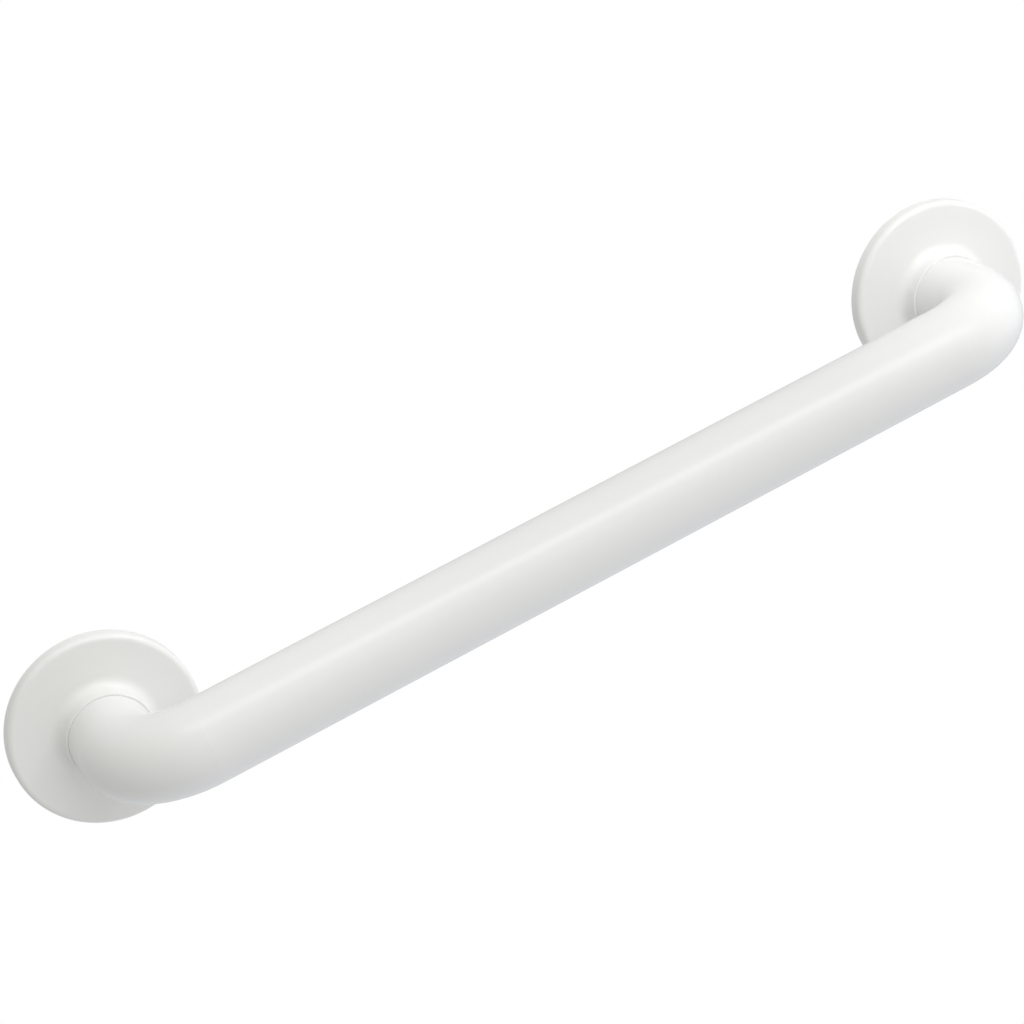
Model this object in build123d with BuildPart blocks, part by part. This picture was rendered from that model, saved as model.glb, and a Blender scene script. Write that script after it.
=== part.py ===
from build123d import *
import math
import os

# Wall-mounted grab bar: a steel tube bent square at both ends, each end passed through a
# round mounting plate and welded there, and a moulded cover snapped over each plate so that
# no screw shows. Millimetres. X runs along the bar, the wall is the plane Y = 0 with the
# room on its -Y side, Z is up, and the origin is midway between the flanges on the wall.

# Bent tube
tube_diameter = 35.0
tube_wall = 1.5
bend_radius = 28.0  # on the tube's centre line
tube_end_recess = 0.5  # the tube ends this far short of the wall

# Place of the bar on its wall
fixing_distance = 400.0  # between the centres of the two flanges
wall_clearance = 42.5  # hand room between the wall and the straight run

# Mounting plates
plate_thickness = 2.5
plate_bevel = 1.2  # round the back edge, where the cover's lugs catch
plate_edge_round = 0.5  # round the front edge, which the lugs ride over
screw_circle = 56.0
screw_hole = 5.5
screw_count = 3
screw_head_height = 2.6
weld_leg = 2.0

# Moulded covers
cover_diameter = 80.0
cover_wall = 1.8
cover_edge_radius = 2.5  # outer corner between rim and face
cover_corner_radius = 0.8  # the same corner inside
neck_wall = 0.8
neck_fillet = 4.5  # between the face and the neck
neck_land = 4.0  # straight part of the neck above its fillet
neck_lip_round = 0.4  # outer edge of the neck's end
neck_draft = 0.5  # degrees; the bore narrows towards the neck's end
lug_count = 3
lug_arc = 26.0  # degrees
lug_tip_height = 0.5  # of a lug's innermost edge above the wall

# Clearances
weld_gap = 0.1  # plate's hole round the tube
neck_clearance = 0.03  # cover's neck round the tube, at its end
rim_clearance = 0.8  # cover's rim round the plate
snap_clearance = 0.15  # lugs under the plate's bevel, measured radially
head_clearance = 0.1  # screw heads under the cover

# Places worked out from the sizes above
tube_radius = tube_diameter / 2
half_span = fixing_distance / 2
axis_height = wall_clearance + tube_radius

cover_radius = cover_diameter / 2
rim_inside = cover_radius - cover_wall
plate_radius = rim_inside - rim_clearance
plate_bore = tube_radius + weld_gap

ceiling_height = plate_thickness + screw_head_height + head_clearance
face_height = ceiling_height + cover_wall
neck_bore = tube_radius + neck_clearance
neck_radius = neck_bore + neck_wall
neck_height = face_height + neck_fillet + neck_land
neck_relief = neck_fillet + cover_wall  # keeps the wall even behind the neck's fillet
neck_root_bore = neck_bore + (neck_height - ceiling_height) * math.tan(math.radians(neck_draft))


def flange_plane(side, turn=0.0):
    """The wall at one flange: Z into the room, X away from the bar, turned by some degrees."""
    room = -Axis.Y
    outward = Vector(side, 0, 0).rotate(room, turn)
    return Plane(origin=(side * half_span, 0, 0), x_dir=outward, z_dir=room.direction)


def section_plane(side, turn=0.0):
    """Plane through a flange's axis: X is the radius, Y the height above the wall."""
    wall = flange_plane(side, turn)
    return Plane(origin=wall.origin, x_dir=wall.x_dir, z_dir=wall.x_dir.cross(wall.z_dir))


def flange_axis(side):
    wall = flange_plane(side)
    return Axis(wall.origin, wall.z_dir)


def bent_tube():
    """One tube, from wall to wall round two bends."""
    with BuildPart() as tube:
        with BuildLine() as centre_line:
            FilletPolyline(
                (-half_span, -tube_end_recess),
                (-half_span, -axis_height),
                (half_span, -axis_height),
                (half_span, -tube_end_recess),
                radius=bend_radius,
            )
        start = Plane(origin=centre_line.line @ 0, z_dir=centre_line.line % 0)
        with BuildSketch(start):
            Circle(tube_radius)
            Circle(tube_radius - tube_wall, mode=Mode.SUBTRACT)
        sweep(path=centre_line.line)
    return tube.part


def mounting_plate(side):
    """Pressed disc round the tube's end, with the weld that joins the two on its front."""
    with BuildPart(flange_plane(side)) as plate:
        with BuildSketch(section_plane(side)):
            with BuildLine():
                FilletPolyline(
                    (plate_bore, 0),
                    (plate_radius - plate_bevel, 0),
                    (plate_radius, plate_bevel),
                    (plate_radius, plate_thickness),
                    (tube_radius + weld_leg, plate_thickness),
                    (tube_radius, plate_thickness + weld_leg),
                    (tube_radius, plate_thickness),
                    (plate_bore, plate_thickness),
                    radius=(0, 0, 0, plate_edge_round, 0, 0, 0, 0),
                    close=True,
                )
            make_face()
        revolve(axis=flange_axis(side))
        with PolarLocations(screw_circle / 2, screw_count):
            Hole(screw_hole / 2)
    return plate.part


def flange_cover(side):
    """Moulded shell: rounded rim, flat face, filleted neck, and snap lugs inside the rim."""
    with BuildPart() as cover:
        with BuildSketch(section_plane(side)):
            with BuildLine():
                FilletPolyline(
                    (cover_radius, 0),
                    (cover_radius, face_height),
                    (neck_radius, face_height),
                    (neck_radius, neck_height),
                    (neck_bore, neck_height),
                    (neck_root_bore, ceiling_height),
                    (rim_inside, ceiling_height),
                    (rim_inside, 0),
                    radius=(
                        0,
                        cover_edge_radius,
                        neck_fillet,
                        neck_lip_round,
                        0,
                        neck_relief,
                        cover_corner_radius,
                        0,
                    ),
                    close=True,
                )
            make_face()
        revolve(axis=flange_axis(side))

        # Each lug lies under the plate's bevel and is rooted in the rim. The lugs stand
        # between the screws.
        lug_root = rim_inside + cover_wall / 2
        lug_slope = plate_radius - plate_bevel + snap_clearance
        lug_tip = lug_slope + lug_tip_height
        for lug in range(lug_count):
            middle = (lug + 0.5) * 360 / lug_count
            with BuildSketch(section_plane(side, middle - lug_arc / 2)):
                with BuildLine():
                    Polyline(
                        (lug_root, 0),
                        (lug_tip + lug_tip_height, 0),
                        (lug_tip, lug_tip_height),
                        (lug_root, lug_root - lug_slope),
                        close=True,
                    )
                make_face()
        revolve(axis=flange_axis(side), revolution_arc=lug_arc)
    return cover.part


os.makedirs("parts", exist_ok=True)

pieces = {"grab_tube": bent_tube()}
for side, name in ((-1, "left"), (1, "right")):
    pieces[f"{name}_mounting_plate"] = mounting_plate(side)
    pieces[f"{name}_flange_cover"] = flange_cover(side)

for name, piece in pieces.items():
    piece.label = name
    export_step(piece, f"parts/{name}.step")
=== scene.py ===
"""White wall-mounted grab bar on a bare studio ground: finishes, light and camera round its solids.

Metres, in the part's own frame: X along the bar, the wall at Y = 0 with the room on its -Y side, Z up.
"""
import math

import bmesh
import bpy
from mathutils import Matrix, Quaternion, Vector


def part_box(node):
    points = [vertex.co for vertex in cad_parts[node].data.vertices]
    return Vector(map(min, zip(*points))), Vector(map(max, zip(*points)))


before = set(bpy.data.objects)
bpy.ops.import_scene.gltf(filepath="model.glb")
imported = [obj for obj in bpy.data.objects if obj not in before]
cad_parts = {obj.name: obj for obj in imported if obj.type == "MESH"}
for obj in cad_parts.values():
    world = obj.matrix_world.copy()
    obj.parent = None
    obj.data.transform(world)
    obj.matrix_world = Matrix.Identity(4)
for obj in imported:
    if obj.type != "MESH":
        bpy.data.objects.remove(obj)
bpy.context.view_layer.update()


# Grab tube. One length of steel tube, bent square at both ends and powder-coated white once
# its plates are welded on. The coating flows out to a faint orange peel. A little of the powder
# drifts into the open ends and fades out there, and beyond it the drawn steel bore is bare.

TUBE_WALL = 0.0015
BEND_RADIUS = 0.028
DRIFT_STARTS = 0.002
DRIFT_ENDS = 0.016

BARE_STEEL = (0.50, 0.49, 0.48, 1.0)
DRAWN_STEEL = (0.34, 0.34, 0.345, 1.0)
STEEL_GRAINS_PER_METRE = 420.0
STEEL_ROUGHNESS = 0.5

tube_low, tube_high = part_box("grab_tube")
tube_radius = tube_high.z
half_span = tube_high.x - tube_radius
axis_height = -tube_low.y - tube_radius


def add_node(tree, kind, settings=None, **inputs):
    """A node with its settings, and its inputs filled from values or from other nodes' sockets.

    An input goes by its name, with _ for a space, or by in_ and its number where names repeat.
    """
    node = tree.nodes.new(kind)
    for name, value in (settings or {}).items():
        setattr(node, name, value)
    for name, value in inputs.items():
        key = int(name.removeprefix("in_")) if name.startswith("in_") else name.replace("_", " ")
        if isinstance(value, bpy.types.NodeSocket):
            tree.links.new(value, node.inputs[key])
        else:
            node.inputs[key].default_value = value
    return node


def number_step(tree, operation, first, second):
    """The result of one step of arithmetic on numbers."""
    node = add_node(tree, "ShaderNodeMath", {"operation": operation}, in_0=first, in_1=second)
    return node.outputs["Value"]


def vector_step(tree, operation, first, second=(0.0, 0.0, 0.0)):
    """The result of one step on vectors, which is a number for a length or a dot product."""
    node = add_node(tree, "ShaderNodeVectorMath", {"operation": operation}, in_0=first, in_1=second)
    return node.outputs["Value" if operation in ("LENGTH", "DOT_PRODUCT") else "Vector"]


def mixed_colour(tree, share, first, second):
    """The first colour where the share is 0, the second where it is 1."""
    mix = add_node(tree, "ShaderNodeMix", {"data_type": "RGBA"}, Factor=share, in_6=first, in_7=second)
    return mix.outputs[2]


def mixed_number(tree, share, first, second):
    """The first number where the share is 0, the second where it is 1."""
    mix = add_node(tree, "ShaderNodeMix", {"data_type": "FLOAT"}, Factor=share, in_2=first, in_3=second)
    return mix.outputs[0]


def cured_surface():
    """Node group for a cured or moulded skin: low ripples for bump, and broad faint cloudiness."""
    tree = bpy.data.node_groups.new("cured_surface", "ShaderNodeTree")
    for name in ("Ripples per Metre", "Clouds per Metre"):
        tree.interface.new_socket(name, in_out="INPUT", socket_type="NodeSocketFloat")
    for name in ("Ripple Height", "Cloudiness"):
        tree.interface.new_socket(name, in_out="OUTPUT", socket_type="NodeSocketFloat")
    given = add_node(tree, "NodeGroupInput")
    place = add_node(tree, "ShaderNodeTexCoord").outputs["Object"]
    ripple = add_node(
        tree, "ShaderNodeTexNoise",
        Vector=place, Scale=given.outputs["Ripples per Metre"], Detail=2.0, Roughness=0.45,
    )
    cloud = add_node(
        tree, "ShaderNodeTexNoise",
        Vector=place, Scale=given.outputs["Clouds per Metre"], Detail=3.0, Roughness=0.55,
    )
    add_node(
        tree, "NodeGroupOutput", Ripple_Height=ripple.outputs["Fac"], Cloudiness=cloud.outputs["Fac"],
    )
    return tree


skin = cured_surface()


def white_finish(name, white, shade, smoothest, roughest, ripples, clouds, bump, bump_height):
    """A white material: its colour and gloss drift with the skin's clouds, its ripples are bump."""
    material = bpy.data.materials.new(name)
    material.use_nodes = True
    tree = material.node_tree
    surface = add_node(
        tree, "ShaderNodeGroup", {"node_tree": skin}, Ripples_per_Metre=ripples, Clouds_per_Metre=clouds,
    )
    cloudiness = surface.outputs["Cloudiness"]
    roughness = add_node(tree, "ShaderNodeMapRange", Value=cloudiness, To_Min=smoothest, To_Max=roughest)
    peel = add_node(
        tree, "ShaderNodeBump",
        Strength=bump, Distance=bump_height, Height=surface.outputs["Ripple Height"],
    )
    shader = tree.nodes["Principled BSDF"]
    tree.links.new(mixed_colour(tree, cloudiness, white, shade), shader.inputs["Base Color"])
    tree.links.new(roughness.outputs["Result"], shader.inputs["Roughness"])
    tree.links.new(peel.outputs["Normal"], shader.inputs["Normal"])
    return material


def bore_mask(tree, place):
    """1 on the tube's bare bore and 0 where it is coated, by the distance from the bent centre line."""
    bend_centre = (half_span - BEND_RADIUS, axis_height - BEND_RADIUS, 0.0)
    from_bend = vector_step(tree, "SUBTRACT", vector_step(tree, "ABSOLUTE", place), bend_centre)
    past_bend = vector_step(tree, "MAXIMUM", from_bend, (0.0, 0.0, 0.0))
    in_plane = vector_step(tree, "MULTIPLY", past_bend, (1.0, 1.0, 0.0))
    sideways = number_step(tree, "SUBTRACT", vector_step(tree, "LENGTH", in_plane), BEND_RADIUS)
    axes = add_node(tree, "ShaderNodeSeparateXYZ", Vector=place)
    across = add_node(tree, "ShaderNodeCombineXYZ", X=sideways, Y=axes.outputs["Z"])
    off_axis = vector_step(tree, "LENGTH", across.outputs["Vector"])
    inside = number_step(tree, "LESS_THAN", off_axis, tube_radius - TUBE_WALL / 2)
    bare = add_node(
        tree, "ShaderNodeMapRange", {"interpolation_type": "SMOOTHSTEP"},
        Value=axes.outputs["Y"], From_Min=-DRIFT_STARTS, From_Max=-DRIFT_ENDS,
    )
    return number_step(tree, "MULTIPLY", inside, bare.outputs["Result"])


def bare_the_bore(material):
    """Puts drawn steel in place of the coating inside the tube."""
    tree = material.node_tree
    shader = tree.nodes["Principled BSDF"]
    coated_colour = shader.inputs["Base Color"].links[0].from_socket
    coated_roughness = shader.inputs["Roughness"].links[0].from_socket
    place = add_node(tree, "ShaderNodeTexCoord").outputs["Object"]
    grain = add_node(
        tree, "ShaderNodeTexNoise", Vector=place, Scale=STEEL_GRAINS_PER_METRE, Detail=4.0, Roughness=0.65,
    )
    steel = mixed_colour(tree, grain.outputs["Fac"], DRAWN_STEEL, BARE_STEEL)
    bore = bore_mask(tree, place)
    roughness = mixed_number(tree, bore, coated_roughness, STEEL_ROUGHNESS)
    tree.links.new(mixed_colour(tree, bore, coated_colour, steel), shader.inputs["Base Color"])
    tree.links.new(roughness, shader.inputs["Roughness"])
    tree.links.new(bore, shader.inputs["Metallic"])


def place_finish(node_name, material):
    """Dresses one of the part's solids."""
    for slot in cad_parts[node_name].material_slots:
        slot.material = material


bar_coating = white_finish(
    "bar_coating",
    white=(0.827, 0.825, 0.804, 1.0),
    shade=(0.808, 0.808, 0.790, 1.0),
    smoothest=0.23,
    roughest=0.29,
    ripples=650.0,
    clouds=38.0,
    bump=0.05,
    bump_height=0.0002,
)
bare_the_bore(bar_coating)
place_finish("grab_tube", bar_coating)


# Mounting plates. Pressed steel discs welded to the tube's ends and coated in the same batch,
# so they are the same white, a little drier where the powder is thin behind the bar.

plate_coating = white_finish(
    "plate_coating",
    white=(0.790, 0.792, 0.766, 1.0),
    shade=(0.690, 0.696, 0.676, 1.0),
    smoothest=0.42,
    roughest=0.56,
    ripples=900.0,
    clouds=60.0,
    bump=0.12,
    bump_height=0.0002,
)
for side in ("left", "right"):
    place_finish(f"{side}_mounting_plate", plate_coating)


# Flange covers. White plastic mouldings that slide down the legs and clip over the plates.
# The mould's satin texture leaves a finer grain than the coating, and a softer shine.

cover_plastic = white_finish(
    "cover_plastic",
    white=(0.828, 0.826, 0.802, 1.0),
    shade=(0.813, 0.812, 0.791, 1.0),
    smoothest=0.27,
    roughest=0.33,
    ripples=1800.0,
    clouds=45.0,
    bump=0.06,
    bump_height=0.0001,
)
for side in ("left", "right"):
    place_finish(f"{side}_flange_cover", cover_plastic)


# Studio ground. A plain white floor below the bar, glowing so evenly that it shows no edge and
# no shadow. It is the lowest of the six plain walls of a light box that the bar hangs in.

FLOOR_DROP = 1.6
FLOOR_HALF_WIDTH = 40.0
SEEN_WHITE = (1.0, 1.0, 1.0, 1.0)

PLAIN_LIGHT = (1.0, 1.0, 1.0)
WARM_LIGHT = (1.01, 1.01, 0.98)
COOL_LIGHT = (0.98, 0.98, 1.04)
BLUE_LIGHT = (0.955, 0.985, 1.055)

BOX_WALLS = {
    "right": ((1.0, 0.0, 0.0), 0.75, COOL_LIGHT),
    "left": ((-1.0, 0.0, 0.0), 0.42, WARM_LIGHT),
    "back": ((0.0, 1.0, 0.0), 0.62, PLAIN_LIGHT),
    "front": ((0.0, -1.0, 0.0), 0.62, WARM_LIGHT),
    "ceiling": ((0.0, 0.0, 1.0), 0.80, PLAIN_LIGHT),
    "floor": ((0.0, 0.0, -1.0), 0.93, BLUE_LIGHT),
}


def light_box():
    """Node group for the box's light from a direction: each wall fades with the square of its cosine."""
    tree = bpy.data.node_groups.new("light_box", "ShaderNodeTree")
    tree.interface.new_socket("Direction", in_out="INPUT", socket_type="NodeSocketVector")
    tree.interface.new_socket("Glow", in_out="OUTPUT", socket_type="NodeSocketColor")
    direction = add_node(tree, "NodeGroupInput").outputs["Direction"]
    total = (0.0, 0.0, 0.0)
    for outward, brightness, tint in BOX_WALLS.values():
        glow = tuple(brightness * part for part in tint)
        facing = number_step(tree, "MAXIMUM", vector_step(tree, "DOT_PRODUCT", direction, outward), 0.0)
        share = number_step(tree, "MULTIPLY", facing, facing)
        sent = add_node(tree, "ShaderNodeVectorMath", {"operation": "SCALE"}, in_0=glow, Scale=share)
        total = vector_step(tree, "ADD", sent.outputs["Vector"], total)
    add_node(tree, "NodeGroupOutput", Glow=total)
    return tree


box_glow = light_box()


def glow_seen_white(tree, emitter, direction):
    """Lights the object with the box's glow, and looks plain white to the camera."""
    glow = add_node(tree, "ShaderNodeGroup", {"node_tree": box_glow}, Direction=direction)
    sent = add_node(tree, emitter, Color=glow.outputs["Glow"], Strength=1.0)
    seen = add_node(tree, emitter, Color=SEEN_WHITE, Strength=1.0)
    path = add_node(tree, "ShaderNodeLightPath")
    mix = add_node(
        tree, "ShaderNodeMixShader",
        in_0=path.outputs["Is Camera Ray"], in_1=sent.outputs[0], in_2=seen.outputs[0],
    )
    return mix.outputs["Shader"]


def pale_floor():
    material = bpy.data.materials.new("pale_floor")
    material.use_nodes = True
    tree = material.node_tree
    tree.nodes.clear()
    place = add_node(tree, "ShaderNodeNewGeometry").outputs["Position"]
    surface = glow_seen_white(tree, "ShaderNodeEmission", vector_step(tree, "NORMALIZE", place))
    add_node(tree, "ShaderNodeOutputMaterial", Surface=surface)
    return material


def studio_floor():
    mesh = bpy.data.meshes.new("studio_floor")
    shape = bmesh.new()
    bmesh.ops.create_grid(
        shape, x_segments=1, y_segments=1, size=FLOOR_HALF_WIDTH,
        matrix=Matrix.Translation((0.0, 0.0, -FLOOR_DROP)),
    )
    shape.to_mesh(mesh)
    shape.free()
    mesh.materials.append(pale_floor())
    floor = bpy.data.objects.new("studio_floor", mesh)
    bpy.context.scene.collection.objects.link(floor)


studio_floor()


# Studio light. The other walls of the light box, a long key softbox above the bar in front, two
# broad weak ones, lower in front and past its right end, and a narrow lamp on each flange.

LAMP_RADIUS = 0.06
LAMP_FADE = 1.0


def studio_walls():
    world = bpy.data.worlds.new("studio_walls")
    world.use_nodes = True
    tree = world.node_tree
    tree.nodes.clear()
    direction = add_node(tree, "ShaderNodeTexCoord").outputs["Generated"]
    surface = glow_seen_white(tree, "ShaderNodeBackground", direction)
    add_node(tree, "ShaderNodeOutputWorld", Surface=surface)
    bpy.context.scene.world = world


def softbox(name, place, aim, along, width, depth, watts, colour=PLAIN_LIGHT):
    """An area light that faces its aim, with its width along a given direction."""
    light = bpy.data.lights.new(name, "AREA")
    light.shape = "RECTANGLE"
    light.size = width
    light.size_y = depth
    light.energy = watts
    light.color = colour
    box = bpy.data.objects.new(name, light)
    back = (Vector(place) - Vector(aim)).normalized()
    side = Vector(along) - Vector(along).dot(back) * back
    side.normalize()
    turned = Matrix((side, back.cross(side), back)).transposed()
    box.matrix_world = Matrix.Translation(place) @ turned.to_4x4()
    bpy.context.scene.collection.objects.link(box)


def flange_lamp(name, place, flange, spread, watts, colour=PLAIN_LIGHT):
    """A narrow lamp on one flange, fading out over the whole of its spot."""
    light = bpy.data.lights.new(name, "SPOT")
    light.energy = watts
    light.color = colour
    light.spot_size = spread
    light.spot_blend = LAMP_FADE
    light.shadow_soft_size = LAMP_RADIUS
    lamp = bpy.data.objects.new(name, light)
    lamp.location = place
    lamp.rotation_euler = (Vector(flange) - Vector(place)).to_track_quat("-Z", "Y").to_euler()
    bpy.context.scene.collection.objects.link(lamp)


studio_walls()
bar_middle = (0.0, -axis_height, 0.0)
softbox(
    "key_softbox",
    place=(0.30, -0.74, 1.20),
    aim=bar_middle,
    along=(0.85, -0.50, 0.0),
    width=1.6,
    depth=0.36,
    watts=4.5,
)
softbox(
    "front_softbox",
    place=(0.46, -1.05, 0.87),
    aim=bar_middle,
    along=(1.0, 0.0, 0.0),
    width=1.2,
    depth=1.2,
    watts=2.6,
)
softbox(
    "end_softbox",
    place=(1.30, -0.20, 0.10),
    aim=(0.1, -0.05, 0.0),
    along=(0.0, 1.0, 0.0),
    width=1.6,
    depth=1.6,
    watts=4.0,
    colour=COOL_LIGHT,
)
flange_lamp(
    "left_flange_lamp",
    place=(0.70, -0.25, 0.70),
    flange=(-half_span, 0.0, 0.0),
    spread=0.12,
    watts=12.1,
)
flange_lamp(
    "right_flange_lamp",
    place=(0.30, -0.68, 0.95),
    flange=(half_span, 0.0, 0.0),
    spread=0.10,
    watts=25.6,
    colour=COOL_LIGHT,
)


# Camera. A long lens in the room, 1.1 m from the bar, above it and just past its left end. It
# is rolled, so that the level bar climbs to the right across the picture.

CAMERA_PLACE = (-0.2672, -1.0625, 0.4595)
CAMERA_AZIMUTH = math.radians(13.58)
CAMERA_DIP = math.radians(22.82)
CAMERA_ROLL = math.radians(22.23)
CAMERA_LENS = 100.37
SENSOR_WIDTH = 36.0

camera_data = bpy.data.cameras.new("camera")
camera_data.lens = CAMERA_LENS
camera_data.sensor_width = SENSOR_WIDTH
camera = bpy.data.objects.new("camera", camera_data)
camera.location = CAMERA_PLACE
look = Vector((
    math.sin(CAMERA_AZIMUTH) * math.cos(CAMERA_DIP),
    math.cos(CAMERA_AZIMUTH) * math.cos(CAMERA_DIP),
    -math.sin(CAMERA_DIP),
))
camera.rotation_mode = "QUATERNION"
camera.rotation_quaternion = look.to_track_quat("-Z", "Y") @ Quaternion((0.0, 0.0, -1.0), CAMERA_ROLL)
bpy.context.scene.collection.objects.link(camera)
bpy.context.scene.camera = camera
bpy.context.scene.view_settings.view_transform = "Standard"
